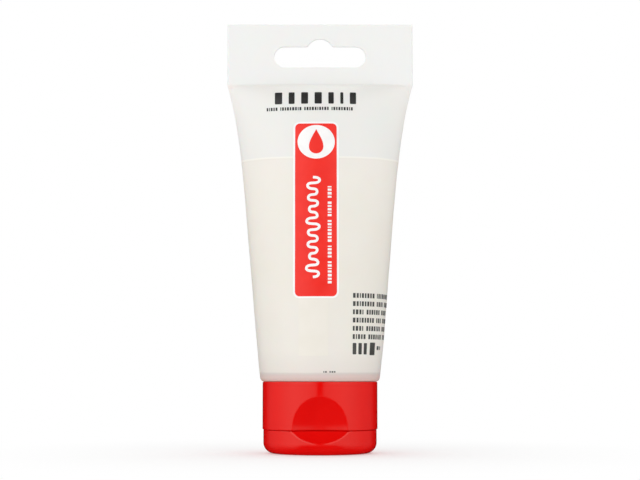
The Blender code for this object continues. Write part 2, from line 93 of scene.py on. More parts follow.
# The sleeve: a round film pressed flat, so its tail is half of its girth wide.
LIP_Z = sleeve_low.z
LIP_SAG = 0.27  # the soft lip settles this much towards the cap's rim
TOP_Z = sleeve_high.z
TAIL_HALF_WIDTH = sleeve_high.x
SLEEVE_RADIUS = 4 * TAIL_HALF_WIDTH / FULL_TURN
SLEEVE_GIRTH = 4 * TAIL_HALF_WIDTH
SLEEVE_WALL = 0.5
LIP_ROUND = 1.6
LIP_WIDTH = 1.1  # how far the lip turns in
LIP_INNER_RADIUS = 17.4
STRAIGHT_Z = LIP_Z + LIP_ROUND
CREASE_Z = 123.7
PAINT_LEVEL_Z = box_mm("paint_fill")[1].z
WELD_HALF_THICKNESS = SLEEVE_WALL
RELIEF_HEIGHT = 0.10  # of the film's soft waves
RELIEF_FADES = (12, 10)  # how far from the lip and the crease the relief fades out
DENT_DEPTH = 0.45
# The hollows under the tail's corners: share of the half width, height, reach across and up.
DENTS = ((0.78, 113.5, 4.2, 7.5), (-0.74, 115.5, 4.6, 6.5))
# How the sleeve's width grows from lip to crease: shares of it, and the power each follows.
SPREAD = ((0.69, 0.9), (0.31, 6))
SIDE_EDGE = 0.6  # how far the sleeve's sides are drawn out to edges at the crease

# The hang slot in the tail.
SLOT_HALF_WIDTH = 15.5
SLOT_MIDDLE_Z = 133.2
SLOT_END_RADIUS = 3.55
BUMP_RADIUS = 4.7
BUMP_MIDDLE_Z = 134.7
SLOT_FILLET = 1.0

# The cap and its lid.
CAP_RADIUS = cap_high.x
CAP_TOP_Z = cap_high.z
CAP_WALL = 1.3
LID_RADIUS = lid_high.x
LID_TOP_Z = lid_high.z
GAP = 0.3
PARTING_Z = LID_TOP_Z + GAP / 2
CAP_BOTTOM_Z = PARTING_Z + GAP / 2
SEAM = 0.1  # what is left of the gap between the outer edges of the cap and the lid
SEAM_END_RADIUS = 17.0  # within this the gap is whole again
DECK_TOP_Z = CAP_BOTTOM_Z + 1.5
STEP_RADIUS = 13.0
STEP_Z = CAP_BOTTOM_Z - 0.8
LID_ROUND = 3.6
SPOUT_BORE = 2.1
SPOUT_FOOT_RADIUS = 5.3
SPOUT_TIP_Z = cap_low.z
PIN_RADIUS = 1.8
PIN_TIP_Z = 6.0
SOCKET_RADIUS = 8.3
SOCKET_WALL = 1.6
SOCKET_TOP_Z = 21.8
CAP_SCOOP = (9.05, 10.8, 3.6)  # half width, height and depth
LID_SCOOP = (9.66, 4.15, 2.8, 12.0)  # the same, and how far its middle lies above the parting
LID_FREE_RADIUS = 9.0  # within this the scoop doesn't press the lid
SCOOP_SHOULDER = 0.22  # how softly a thumb scoop's edge is rounded
FINE_ROW = 0.25
FOOT_RADIUS = 14.2  # of the ring that the lid stands on
FOOT_RISE = 0.25
RIB = (7.6, 7.8, 8.5, 8.7)  # radii of the ring in the lid that meets the cap's step
RIB_TOP_Z = 2.9

# The hinge at the back.
RECESS_Y = 17.3
RECESS_LOW_Z = PARTING_Z - 4.4
RECESS_HIGH_Z = PARTING_Z + 5.5
REAR_WALL_Y = 15.6
REAR_WALL_TOP_Z = RECESS_HIGH_Z + CAP_WALL
HINGE_Y = (film_low.y + film_high.y) / 2
FILM_HALF_HEIGHT = 1.9
FILM_LAND, FILM_WEB = 0.3, 0.15  # half thickness of a film's ends and of its middle
FILM_LAND_FROM = 1.1  # distance from the hinge's axis where the ends have their full thickness
FILM_SINK = 0.1  # how far its ends sink into the wall behind them
STRAP_WAIST = 0.1  # how much the strap is thinner on each side of its middle

# The head, its neck, and the thread on the neck and in the cap's socket.
FLANGE_RADIUS = 18.9
FLANGE_INNER_RADIUS = 17.9
FLANGE_FLOOR_Z = 26.3
NECK_RADIUS = 6.8
NECK_END_Z = head_low.z
ORIFICE_RADIUS = 3.0
NECK_BORE = 4.5
NECK_ROOT_Z = 21.7
NECK_ROWS_Z = (18.0, 14.5)
SHOULDER_BEND = (12.0, 23.15)  # radius and height of the bend in the shoulder's outer face
SHOULDER_INSIDE = [(NECK_BORE, 23.4), (16.4, 25.5)]
THREAD_PITCH = 3.0
THREAD_TURNS = 2.6
THREAD_DEPTH = 1.1
THREAD_FOOT, THREAD_CREST = 0.7, 0.3  # half widths of the ridge at its root and its crest
THREAD_START_Z = 13.0
THREAD_STEPS = round(64 * THREAD_TURNS)
THREAD_RUN_OUT = 0.12  # share of the thread's length that fades in, and out
THREAD_END = 0.02  # share of its height that the ridge keeps at its very ends

CAP_COLUMNS = 480
SLEEVE_COLUMNS = 240
ROUND_COLUMNS = 160

# The light tent's brightness from straight ahead (0 degrees) round to behind (180).
TENT_BRIGHTNESS = [
    (0, 0.0), (3.8, 0.0), (7, 0.45), (13, 0.68), (26, 0.8), (42, 0.9), (54, 0.92), (66, 0.8),
    (80, 0.6), (92, 0.43), (104, 0.32), (118, 0.21), (136, 0.02), (148, 0.0), (180, 0.0),
]
LEFT_PANEL, RIGHT_PANEL, UPPER_PANEL, TOP_PANEL = 1.08, 0.86, 2.05, 1.9  # against the rest
FRONT_FLOOR = 0.3
DARK_GAP = 0.01
# The tent's light in a direction x, y, z, step by step: a name, what is done, and its values.
# STEP is a soft step: a value, where the change starts and ends, and the results there.
TENT_STEPS = [
    ("ahead", "MULTIPLY", "y", -1.0),
    ("azimuth", "ARCTAN2", "x", "ahead"),
    ("turned", "ABSOLUTE", "azimuth"),
    ("aside", "MULTIPLY", "turned", 1 / math.pi),  # 0 straight ahead, 1 behind
    ("round", "RAMP", "aside"),
    ("sides", "STEP", "x", -0.5, 0.95, LEFT_PANEL, RIGHT_PANEL),
    ("panels", "MULTIPLY", "round", "sides"),
    ("floor", "STEP", "aside", 0.05, 0.2, FRONT_FLOOR, 0.0),
    ("low", "STEP", "z", -0.07, -0.02, 1.0, 0.0),
    ("floor", "MULTIPLY", "floor", "low"),
    ("panels", "MAXIMUM", "panels", "floor"),
    ("foot", "STEP", "aside", 0.12, 0.4, -0.32, -0.95),
    ("below", "STEP", "z", "foot", 0.0, 0.0, 1.0),
    ("panels", "MULTIPLY", "panels", "below"),
    ("upper", "STEP", "z", 0.1, 0.35, 1.0, UPPER_PANEL),
    ("panels", "MULTIPLY", "panels", "upper"),
    ("open_top", "STEP", "z", 0.7, 0.9, 1.0, 0.0),
    ("panels", "MULTIPLY", "panels", "open_top"),
    ("above", "STEP", "z", 0.5, 0.8, 0.0, 1.0),
    ("behind", "STEP", "y", -0.15, 0.25, 0.0, TOP_PANEL),
    ("above", "MULTIPLY", "above", "behind"),
    ("light", "MAXIMUM", "panels", "above"),
    ("light", "MAXIMUM", "light", DARK_GAP),
    ("light", "MAXIMUM", "light", "seen"),
]

FLOOR_RADIUS = 6000.0
FLOOR_GAP = 0.05
FLOOR_FADE = (-60, 140)  # where the floor starts and ends to run out to white

CAMERA_DISTANCE, CAMERA_HEIGHT = 520, 25.8
CAMERA_TILT = 4.966  # degrees upwards
CAMERA_LENS = 87.4

INK = 0.025  # thickness of one layer of ink
INK_STEP = 0.035  # from one layer's underside to the next
INK_LIFT = 0.01  # of the lowest layer off the film
STRIP_WIDTH, STRIP_HEIGHT, FOLD_STRIP_HEIGHT = 0.8, 2.0, 0.5
SMOOTH_UP_TO = 32  # degrees: edges flatter than this are shaded smooth


# ---- drawing and shaping


def deselect():
    """Nothing selected, so that the next operator acts on its own piece alone."""
    if bpy.context.object and bpy.context.object.mode != "OBJECT":
        bpy.ops.object.mode_set(mode="OBJECT")
    bpy.ops.object.select_all(action="DESELECT")


def work_on(piece):
    """The only selected piece, and the active one."""
    deselect()
    piece.select_set(True)
    bpy.context.view_layer.objects.active = piece


def start(name):
    """A new, empty piece at the origin, in edit mode."""
    deselect()
    bpy.ops.mesh.primitive_plane_add(size=MM)
    piece = bpy.context.object
    piece.name = piece.data.name = name
    bpy.ops.object.mode_set(mode="EDIT")
    bpy.ops.mesh.select_all(action="SELECT")
    bpy.ops.mesh.delete(type="VERT")
    return piece


def draw(outline):
    """Draw an outline of (x, z) points into the piece in edit mode, one extrusion each."""
    x, z = outline[0]
    bpy.ops.mesh.primitive_plane_add(size=MM, location=(x * MM, 0, z * MM))
    bpy.ops.mesh.merge(type="CENTER")
    for (x, z), (next_x, next_z) in zip(outline, outline[1:]):
        step = ((next_x - x) * MM, 0, (next_z - z) * MM)
        bpy.ops.mesh.extrude_region_move(TRANSFORM_OT_translate={"value": step})
    bpy.ops.mesh.select_linked()


def tidy_up():
    """Merge doubled points and turn every face outwards, in edit mode."""
    bpy.ops.mesh.select_all(action="SELECT")
    bpy.ops.mesh.remove_doubles(threshold=0.002 * MM)
    bpy.ops.mesh.normals_make_consistent(inside=False)
    bpy.ops.object.mode_set(mode="OBJECT")


def turn(name, outline, columns, closed=True):
    """A round piece: its outline of (radius, z) points spun round Z."""
    piece = start(name)
    draw(outline + outline[:1] if closed else outline)
    bpy.ops.mesh.spin(steps=columns, angle=FULL_TURN, center=(0, 0, 0), axis=(0, 0, 1))
    tidy_up()
    return piece


def plate(name, outlines, low_y, high_y):
    """Flat closed shapes in the XZ plane, given a thickness along Y."""
    piece = start(name)
    for outline in outlines:
        draw(outline)
        bpy.ops.mesh.edge_face_add()
    bpy.ops.mesh.select_all(action="SELECT")
    bpy.ops.transform.translate(value=(0, low_y * MM, 0))
    thickness = (0, (high_y - low_y) * MM, 0)
    bpy.ops.mesh.extrude_region_move(TRANSFORM_OT_translate={"value": thickness})
    tidy_up()
    return piece


def blocks(name, boxes, corner=0.0, along=1):
    """Boxes from lowest to highest corner in one piece, their edges along one axis rounded."""
    piece = start(name)
    for low, high in boxes:
        low, high = np.array(low), np.array(high)
        bpy.ops.mesh.primitive_cube_add(
            size=1, location=(low + high) / 2 * MM, scale=(high - low) * MM
        )
    if corner:
        bpy.ops.mesh.select_mode(type="EDGE")
        bpy.ops.mesh.select_all(action="DESELECT")
        bpy.ops.object.mode_set(mode="OBJECT")
        for edge in piece.data.edges:
            a, b = (piece.data.vertices[i].co for i in edge.vertices)
            edge.select = abs((b - a).normalized()[along]) > 0.99
        bpy.ops.object.mode_set(mode="EDIT")
        bpy.ops.mesh.bevel(offset=corner * MM, segments=4)
        bpy.ops.mesh.select_mode(type="VERT")
    tidy_up()
    return piece


def close_ends(piece):
    """Fill every open rim of the active piece with a face, and stay in edit mode."""
    bpy.ops.object.mode_set(mode="EDIT")
    bpy.ops.mesh.select_all(action="DESELECT")
    bpy.ops.mesh.select_non_manifold(extend=False, use_wire=False, use_multi_face=False)
    bpy.ops.mesh.edge_face_add()


def slice_up(piece, axis, places):
    """Cut a piece through at each place along an axis, so that it can bend there."""
    work_on(piece)
    bpy.ops.object.mode_set(mode="EDIT")
    normal = [0, 0, 0]
    normal[axis] = 1
    for place in places:
        point = [0, 0, 0]
        point[axis] = place * MM
        bpy.ops.mesh.select_all(action="SELECT")
        bpy.ops.mesh.bisect(plane_co=point, plane_no=normal)
    bpy.ops.object.mode_set(mode="OBJECT")


def combine(piece, other, operation):
    """Cut another shape out of a piece, or weld it on, and use it up."""
    work_on(piece)
    boolean = piece.modifiers.new("combine", "BOOLEAN")
    boolean.object = other
    boolean.operation = operation
    boolean.solver = "EXACT"
    bpy.ops.object.modifier_apply(modifier=boolean.name)
    bpy.data.objects.remove(other)


def points_of(piece):
    """A piece's points in millimetres."""
    flat = np.empty(len(piece.data.vertices) * 3, np.float32)
    piece.data.vertices.foreach_get("co", flat)
    return flat.reshape(-1, 3).astype(float) / MM


def move_points(piece, points):
    """Set a piece's points, given in millimetres."""
    piece.data.vertices.foreach_set("co", (points * MM).astype(np.float32).ravel())
    piece.data.update()


def arc(middle_x, middle_z, radius, first, last, steps):
    """Points of an arc, from one angle in degrees to another."""
    angles = np.radians(np.linspace(first, last, steps + 1))
    return [(middle_x + radius * math.cos(a), middle_z + radius * math.sin(a)) for a in angles]


def run(r, first_z, last_z, spacing):
    """Evenly spaced points of a straight wall, both ends left out."""
    count = max(1, round(abs(last_z - first_z) / spacing))
    return [(r, z) for z in np.linspace(first_z, last_z, count + 1)[1:-1]]


# ---- the sleeve


def ring(half_width, half_depth, crease, angles):
    """A pressed section. Crease 1 is an ellipse, and more draws its sides out to edges."""
    depth = half_depth * np.abs(np.sin(angles)) ** crease
    return half_width * np.cos(angles), np.copysign(depth, np.sin(angles))


def girth(half_width, half_depth, crease):
    """The way round a section."""
    x, y = ring(half_width, half_depth, crease, np.linspace(0, FULL_TURN, SLEEVE_COLUMNS + 1))
    return np.hypot(np.diff(x), np.diff(y)).sum()


known_sections = {}


def section(z):
    """Half width, half depth and crease at a height. Film doesn't stretch: its girth is kept."""
    z = round(min(max(z, STRAIGHT_Z), CREASE_Z), 3)
    if z not in known_sections:
        rise = (z - STRAIGHT_Z) / (CREASE_Z - STRAIGHT_Z)
        spread = sum(share * rise**power for share, power in SPREAD)
        half_width = SLEEVE_RADIUS + (TAIL_HALF_WIDTH - SLEEVE_RADIUS) * spread
        crease = 1 + SIDE_EDGE * rise**4
        low, high = WELD_HALF_THICKNESS, SLEEVE_RADIUS
        for _ in range(24):
            middle = (low + high) / 2
            if girth(half_width, middle, crease) > SLEEVE_GIRTH:
                high = middle
            else:
                low = middle
        known_sections[z] = (half_width, high, crease)
    return known_sections[z]


def relief(x, y, z, half_width):
    """How far the film stands out from its even shape: soft waves, and a dent under each corner.

    The waves' numbers are radians per millimetre, and differ so that nothing repeats.
    """
    side = np.copysign(1.0, y)
    wave = np.sin(0.145 * x + 0.081 * z + 0.9 * side) * np.sin(0.052 * z - 0.11 * x * side + 0.4)
    wave += 0.5 * np.sin(0.23 * z + 0.19 * x + 1.7 * side) * np.cos(0.17 * x - 0.4)
    lip_fade, crease_fade = RELIEF_FADES
    settled = np.clip((z - STRAIGHT_Z) / lip_fade, 0, 1)
    settled = settled * np.clip((CREASE_Z - z) / crease_fade, 0, 1)
    dent = 0.0
    for share, height, reach_x, reach_z in DENTS:
        away = ((x - share * half_width) / reach_x) ** 2 + ((z - height) / reach_z) ** 2
        dent = dent + np.exp(-away)
    return (RELIEF_HEIGHT * wave - DENT_DEPTH * dent) * settled


def sleeve_surface(angles, z):
    """Points of the sleeve's outside at a height: x, y and the outward direction's x and y."""
    half_width, half_depth, crease = section(z)
    x, y = ring(half_width, half_depth, crease, angles)
    edge = np.clip((np.abs(x) - (half_width - WELD_HALF_THICKNESS)) / WELD_HALF_THICKNESS, 0, 1)
    fold = WELD_HALF_THICKNESS * np.sqrt(1 - edge**2)
    y = np.copysign(np.maximum(np.abs(y), fold), y)
    out_x, out_y = x / half_width**2, y / max(half_depth, 2 * SLEEVE_WALL) ** 2
    length = np.maximum(np.hypot(out_x, out_y), 1e-9)
    out_x, out_y = out_x / length, out_y / length
    height = relief(x, y, z, half_width)
    return x + out_x * height, y + out_y * height, out_x, out_y


def press_flat(sleeve):
    """Press the round sleeve towards its tail: vertex by vertex, as the film itself folds."""
    points = points_of(sleeve)
    angles = np.arctan2(points[:, 1], points[:, 0])
    at_side = np.abs(np.sin(angles)) < 1e-4
    angles[at_side] = np.round(angles[at_side] / math.pi) * math.pi
    inner = np.hypot(points[:, 0], points[:, 1]) < SLEEVE_RADIUS - SLEEVE_WALL / 2
    heights = np.round(points[:, 2], 3)
    for z in np.unique(heights[heights >= STRAIGHT_Z - 0.001]):
        half_width, half_depth, crease = section(z)
        out = (heights == z) & ~inner
        x, y, _, _ = sleeve_surface(angles[out], z)
        if z > CREASE_Z - 0.001:
            x, y = weld(angles[out], z)
        points[out, 0], points[out, 1] = x, y
        within = (heights == z) & inner
        scale = (half_depth - SLEEVE_WALL) / half_depth
        x, y = ring(half_width * scale, half_depth * scale, crease, angles[within])
        points[within, 0], points[within, 1] = x, y
    move_points(sleeve, points)


def weld(angles, z):
    """The welded tail: two films as one flat strip with rounded side edges and a cut top edge."""
    x = TAIL_HALF_WIDTH * np.cos(angles)
    edge = np.clip((np.abs(x) - TAIL_HALF_WIDTH + WELD_HALF_THICKNESS) / WELD_HALF_THICKNESS, 0, 1)
    thickness = WELD_HALF_THICKNESS * np.sqrt(1 - edge**2)
    thinned, reach = 0.72, 0.2  # the cut thins the edge to this share, within this distance
    cut_edge = thinned + (1 - thinned) * min(1.0, (TOP_Z - z) / reach)
    return x, np.copysign(thickness * cut_edge, np.sin(angles))


def make_sleeve():
    """The film sleeve: rolled lip below, pressed flat above, its tail welded and punched."""
    low_z = STRAIGHT_Z
    near_crease = CREASE_Z - 6
    outline = [(SLEEVE_RADIUS - SLEEVE_WALL, z) for z in np.arange(CREASE_Z - 1.5, low_z, -3.0)]
    outline += arc(SLEEVE_RADIUS - LIP_ROUND, low_z, LIP_ROUND - SLEEVE_WALL, 0, -90, 5)
    outline += [(LIP_INNER_RADIUS, LIP_Z + SLEEVE_WALL), (LIP_INNER_RADIUS, LIP_Z + 0.15)]
    outline += [(LIP_INNER_RADIUS + 0.15, LIP_Z)]
    lip = arc(0, low_z, LIP_ROUND, -90, 0, 8)
    outline += [(SLEEVE_RADIUS - LIP_WIDTH * (1 - r / LIP_ROUND), z) for r, z in lip]
    outline += run(SLEEVE_RADIUS, low_z, near_crease, 1.5)
    outline += [(SLEEVE_RADIUS, near_crease)]
    outline += run(SLEEVE_RADIUS, near_crease, CREASE_Z - 0.6, 0.45)
    outline += [(SLEEVE_RADIUS, CREASE_Z - step) for step in (0.6, 0.45, 0.3, 0.15, 0.05, 0.0)]
    outline += run(SLEEVE_RADIUS, CREASE_Z, TOP_Z - 0.2, 1.7)
    outline += [(SLEEVE_RADIUS, TOP_Z - step) for step in (0.2, 0.1, 0.0)]
    sag = LIP_SAG / LIP_ROUND
    outline = [(r, z - sag * max(0.0, STRAIGHT_Z - z)) for r, z in outline]
    sleeve = turn("film_sleeve", outline, SLEEVE_COLUMNS, closed=False)
    close_ends(sleeve)
    bpy.ops.object.mode_set(mode="OBJECT")
    return sleeve


def slot_outline():
    """The hang slot: round ends, and a bump whose corners are eased by small fillets."""
    top_z = SLOT_MIDDLE_Z + SLOT_END_RADIUS
    fillet_z = top_z + SLOT_FILLET
    rise = fillet_z - BUMP_MIDDLE_Z
    fillet_x = math.sqrt((BUMP_RADIUS + SLOT_FILLET) ** 2 - rise**2)
    lean = math.degrees(math.atan2(rise, fillet_x))
    end_x = SLOT_HALF_WIDTH - SLOT_END_RADIUS
    outline = arc(fillet_x, fillet_z, SLOT_FILLET, 270, 180 + lean, 6)
    outline += arc(0, BUMP_MIDDLE_Z, BUMP_RADIUS, lean, 180 - lean, 24)[1:-1]
    outline += arc(-fillet_x, fillet_z, SLOT_FILLET, -lean, -90, 6)
    outline += arc(-end_x, SLOT_MIDDLE_Z, SLOT_END_RADIUS, 90, 270, 20)
    outline += arc(end_x, SLOT_MIDDLE_Z, SLOT_END_RADIUS, -90, 90, 20)
    return outline


# ---- the moulded pieces


def thread_ridge(name, root, crest, quarter_turns):
    """A right-hand thread ridge that rises out of its wall at one end and runs out at the other."""
    ridge = start(name)
    upper = [(root, THREAD_FOOT), (crest, THREAD_CREST)]
    lower = [(radius, -up) for radius, up in upper[::-1]]
    profile = [(radius, THREAD_START_Z + up) for radius, up in upper + lower]
    draw(profile + profile[:1])
    bpy.ops.mesh.remove_doubles(threshold=0.002 * MM)
    bpy.ops.object.mode_set(mode="OBJECT")
    screw = ridge.modifiers.new("thread", "SCREW")
    screw.angle = FULL_TURN * THREAD_TURNS
    screw.screw_offset = THREAD_PITCH * THREAD_TURNS * MM
    screw.steps = screw.render_steps = THREAD_STEPS
    bpy.ops.object.modifier_apply(modifier=screw.name)
    points = points_of(ridge)
    radii = np.hypot(points[:, 0], points[:, 1])
    share = (np.arange(len(points)) // len(profile)) / THREAD_STEPS
    grown = np.clip(np.minimum(share, 1 - share) / THREAD_RUN_OUT, THREAD_END, 1)
    points[:, :2] *= ((root + (radii - root) * grown) / radii)[:, None]
    move_points(ridge, points)
    close_ends(ridge)
    tidy_up()
    ridge.rotation_euler.z = quarter_turns * FULL_TURN / 4
    bpy.ops.object.transform_apply(rotation=True)
    return ridge


def make_head():
    """The stiff shoulder and threaded neck, moulded in one, that the sleeve is welded to."""
    edge, chamfer, flare = 0.3, 0.5, 0.8
    lip_top = LIP_Z + SLEEVE_WALL + GAP
    lip_inner = LIP_INNER_RADIUS - GAP
    outline = [(FLANGE_RADIUS, head_high.z), (FLANGE_RADIUS, lip_top + chamfer)]
    outline += [(FLANGE_RADIUS - chamfer, lip_top), (lip_inner, lip_top)]
    outline += arc(lip_inner - edge, LIP_Z + edge, edge, 0, -80, 4) + [SHOULDER_BEND]
    outline += arc(NECK_RADIUS + flare, NECK_ROOT_Z, flare, 90, 180, 6)
    outline += [(NECK_RADIUS, z) for z in NECK_ROWS_Z]
    outline += arc(NECK_RADIUS - chamfer, NECK_END_Z + chamfer, chamfer, 0, -90, 5)
    outline += arc(ORIFICE_RADIUS + edge, NECK_END_Z + edge, edge, -90, -180, 4)
    outline += [(ORIFICE_RADIUS, NECK_END_Z + 1.0), (NECK_BORE, NECK_END_Z + 1.8)]
    outline += SHOULDER_INSIDE
    outline += [(FLANGE_INNER_RADIUS, FLANGE_FLOOR_Z), (FLANGE_INNER_RADIUS, head_high.z)]
    head = turn("shoulder_and_neck", outline, ROUND_COLUMNS)
    crest = NECK_RADIUS + THREAD_DEPTH
    combine(head, thread_ridge("neck_thread", NECK_RADIUS - GAP, crest, 0), "UNION")
    return head


class Scoop:
    """A thumb scoop: the hollow that an ellipsoid leaves in a round wall.

    On the middle line it meets the wall at the height, and it is deepest at the parting plane,
    where it is twice the half width wide. The ellipsoid's own middle may lie above that plane.
    """

    REACH = 24.0

    def __init__(self, radius, half_width, height, depth, rise=0.0):
        self.radius = radius
        self.rise = rise
        low, high = rise + height, 500.0
        for _ in range(60):
            self.half_z = (low + high) / 2
            lean = math.sqrt(1 - (rise / self.half_z) ** 2)
            end = (lean - depth / self.REACH) ** 2 + ((rise + height) / self.half_z) ** 2
            low, high = (self.half_z, high) if end > 1 else (low, self.half_z)
        self.middle = radius - depth + self.REACH * lean
        side = (self.middle - math.sqrt(radius**2 - half_width**2)) / self.REACH
        self.half_x = half_width / math.sqrt(lean**2 - side**2)

    def depth(self, angles, z):
        """How far the wall is pressed in, at angles from the front and at heights."""
        a = (np.sin(angles) / self.half_x) ** 2 + (np.cos(angles) / self.REACH) ** 2
        b = -2 * self.middle * np.cos(angles) / self.REACH**2
        up = (z - PARTING_Z - self.rise) / self.half_z
        c = (self.middle / self.REACH) ** 2 + up**2 - 1
        inside = b**2 - 4 * a * c
        hit = (inside > 0) & (np.cos(angles) > 0)
        reach = np.where(hit, (-b - np.sqrt(np.maximum(inside, 0))) / (2 * a), 2 * self.radius)
        shoulder = np.maximum(SCOOP_SHOULDER - np.abs(reach - self.radius), 0) / SCOOP_SHOULDER
        surface = np.minimum(reach, self.radius) - shoulder**2 * SCOOP_SHOULDER / 4
        return self.radius - surface


def press_scoop(piece, scoop, free_radius):
    """Press a thumb scoop into a skirt. What is within the free radius stays where it is."""
    points = points_of(piece)
    radii = np.hypot(points[:, 0], points[:, 1])
    angles = np.arctan2(points[:, 0], -points[:, 1])
    share = np.clip((radii - free_radius) / (scoop.radius - CAP_WALL - free_radius), 0, 1)
    pressed = radii - share * scoop.depth(angles, points[:, 2])
    points[:, :2] *= (pressed / np.maximum(radii, 1e-6))[:, None]
    move_points(piece, points)


def thicken_rear(piece, inner_radius):
    """Bring the skirt's inside forward behind the hinge, so that the recess leaves a full wall."""
    points = points_of(piece)
    radii = np.hypot(points[:, 0], points[:, 1])
    behind = (radii > SOCKET_RADIUS + 2 * SOCKET_WALL) & (radii < inner_radius + 0.1)
    behind &= (points[:, 1] > REAR_WALL_Y) & (points[:, 2] < REAR_WALL_TOP_Z)
    points[behind, 1] = REAR_WALL_Y
    move_points(piece, points)


def cut_hinge(piece):
    """The flat recess at the back, the notches round the films and the window of the strap."""
    far = CAP_RADIUS + 2
    notch = film_high.z - PARTING_Z + GAP
    notch_half_x = film_high.x + 0.7
    window = strap_high.z - PARTING_Z + GAP
    window_half_x, window_y = strap_high.x + GAP, REAR_WALL_Y - 2 * GAP
    sizes = {
        "recess": (far, RECESS_Y, RECESS_LOW_Z, RECESS_HIGH_Z),
        "notch": (notch_half_x, HINGE_Y - notch, PARTING_Z - notch, PARTING_Z + notch),
        "window": (window_half_x, window_y, PARTING_Z - window, PARTING_Z + window),
    }
    for name, (half_x, low_y, low_z, high_z) in sizes.items():
        corners = [((-half_x, low_y, low_z), (half_x, far, high_z))]
        combine(piece, blocks(name, corners, corner=0.25), "DIFFERENCE")


def make_cap():
    """The screw cap: skirt with a thumb scoop, deck, threaded socket for the neck, and spout."""
    edge, small, fillet, tip = 0.5, 0.25, 0.8, 0.45
    inner = CAP_RADIUS - CAP_WALL
    socket_outer = SOCKET_RADIUS + SOCKET_WALL
    scoop_top = PARTING_Z + CAP_SCOOP[1] + 2 * SCOOP_SHOULDER
    seam_z = PARTING_Z + SEAM / 2
    outline = arc(CAP_RADIUS - edge, CAP_TOP_Z - edge, edge, 90, 0, 5)
    outline += run(CAP_RADIUS, CAP_TOP_Z - edge, scoop_top, 1.0) + [(CAP_RADIUS, scoop_top)]
    outline += run(CAP_RADIUS, scoop_top, seam_z + small, FINE_ROW)
    outline += arc(CAP_RADIUS - small, seam_z + small, small, 0, -90, 3)
    outline += [(SEAM_END_RADIUS, CAP_BOTTOM_Z), (STEP_RADIUS + small, CAP_BOTTOM_Z)]
    outline += arc(STEP_RADIUS - small, STEP_Z + small, small, 0, -90, 3)
    outline += [(9.0, STEP_Z)] + arc(SPOUT_FOOT_RADIUS, STEP_Z - fillet, fillet, 90, 165, 4)
    outline += arc(SPOUT_BORE + 0.75, SPOUT_TIP_Z + tip, tip, 10, -90, 4)
    outline += arc(SPOUT_BORE + small, SPOUT_TIP_Z + small, small, -90, -180, 3)
    outline += [(SPOUT_BORE, DECK_TOP_Z), (SOCKET_RADIUS, DECK_TOP_Z)]
    outline += run(SOCKET_RADIUS, DECK_TOP_Z, SOCKET_TOP_Z - edge, 3.0)
    outline += [(SOCKET_RADIUS, SOCKET_TOP_Z - edge), (SOCKET_RADIUS + edge, SOCKET_TOP_Z)]
    outline += [(socket_outer - small, SOCKET_TOP_Z), (socket_outer, SOCKET_TOP_Z - small)]
    outline += run(socket_outer, SOCKET_TOP_Z - small, DECK_TOP_Z, 4.0)
    outline += [(socket_outer, DECK_TOP_Z), (14.0, DECK_TOP_Z), (inner, DECK_TOP_Z)]
    outline += run(inner, DECK_TOP_Z, REAR_WALL_TOP_Z, 0.7)
    outline += [(inner, REAR_WALL_TOP_Z - 0.05), (inner, REAR_WALL_TOP_Z + 0.05)]
    outline += run(inner, REAR_WALL_TOP_Z, scoop_top, 0.7)
    outline += [(inner, scoop_top), (inner, CAP_TOP_Z - small), (inner + small, CAP_TOP_Z)]
    cap = turn("screw_cap", outline, CAP_COLUMNS)
    thicken_rear(cap, inner)
    press_scoop(cap, Scoop(CAP_RADIUS, *CAP_SCOOP), STEP_RADIUS)
    cut_hinge(cap)
    ridge = thread_ridge("socket_thread", SOCKET_RADIUS + GAP, SOCKET_RADIUS - THREAD_DEPTH, 2)
    combine(cap, ridge, "UNION")
    return cap


def make_lid():
    """The flip-top lid that the tube stands on, with the pin that plugs the spout."""
    edge, tip, fillet, dimple = 0.25, 0.35, 0.4, 0.5
    seam_z = PARTING_Z - SEAM / 2
    inner = LID_RADIUS - CAP_WALL
    middle = LID_RADIUS - LID_ROUND
    outline = [(inner, LID_TOP_Z), (LID_RADIUS - 0.6, LID_TOP_Z)]
    outline += arc(LID_RADIUS - edge, seam_z - edge, edge, 90, 0, 3)
    outline += run(LID_RADIUS, seam_z - edge, LID_ROUND, FINE_ROW)
    outline += arc(middle, LID_ROUND, LID_ROUND, 0, -90, 16)
    outline += [(FOOT_RADIUS, 0.0), (FOOT_RADIUS - 0.3, FOOT_RISE), (8.0, FOOT_RISE)]
    outline += [(1.6, FOOT_RISE), (1.1, dimple), (0.0, dimple)]
    outline += [(0.0, PIN_TIP_Z - dimple), (0.9, PIN_TIP_Z - dimple), (1.1, PIN_TIP_Z)]
    outline += arc(PIN_RADIUS - tip, PIN_TIP_Z - tip, tip, 90, 0, 3)
    outline += [(PIN_RADIUS, CAP_WALL + fillet), (PIN_RADIUS + fillet, CAP_WALL)]
    outline += list(zip(RIB, (CAP_WALL, RIB_TOP_Z, RIB_TOP_Z, CAP_WALL))) + [(12.0, CAP_WALL)]
    outline += arc(middle, LID_ROUND, LID_ROUND - CAP_WALL, -90, 0, 6)
    outline += run(inner, LID_ROUND, LID_TOP_Z, 0.6)
    lid = turn("flip_lid", outline, CAP_COLUMNS)
    thicken_rear(lid, inner)
    press_scoop(lid, Scoop(LID_RADIUS, *LID_SCOOP), LID_FREE_RADIUS)
    cut_hinge(lid)
    return lid


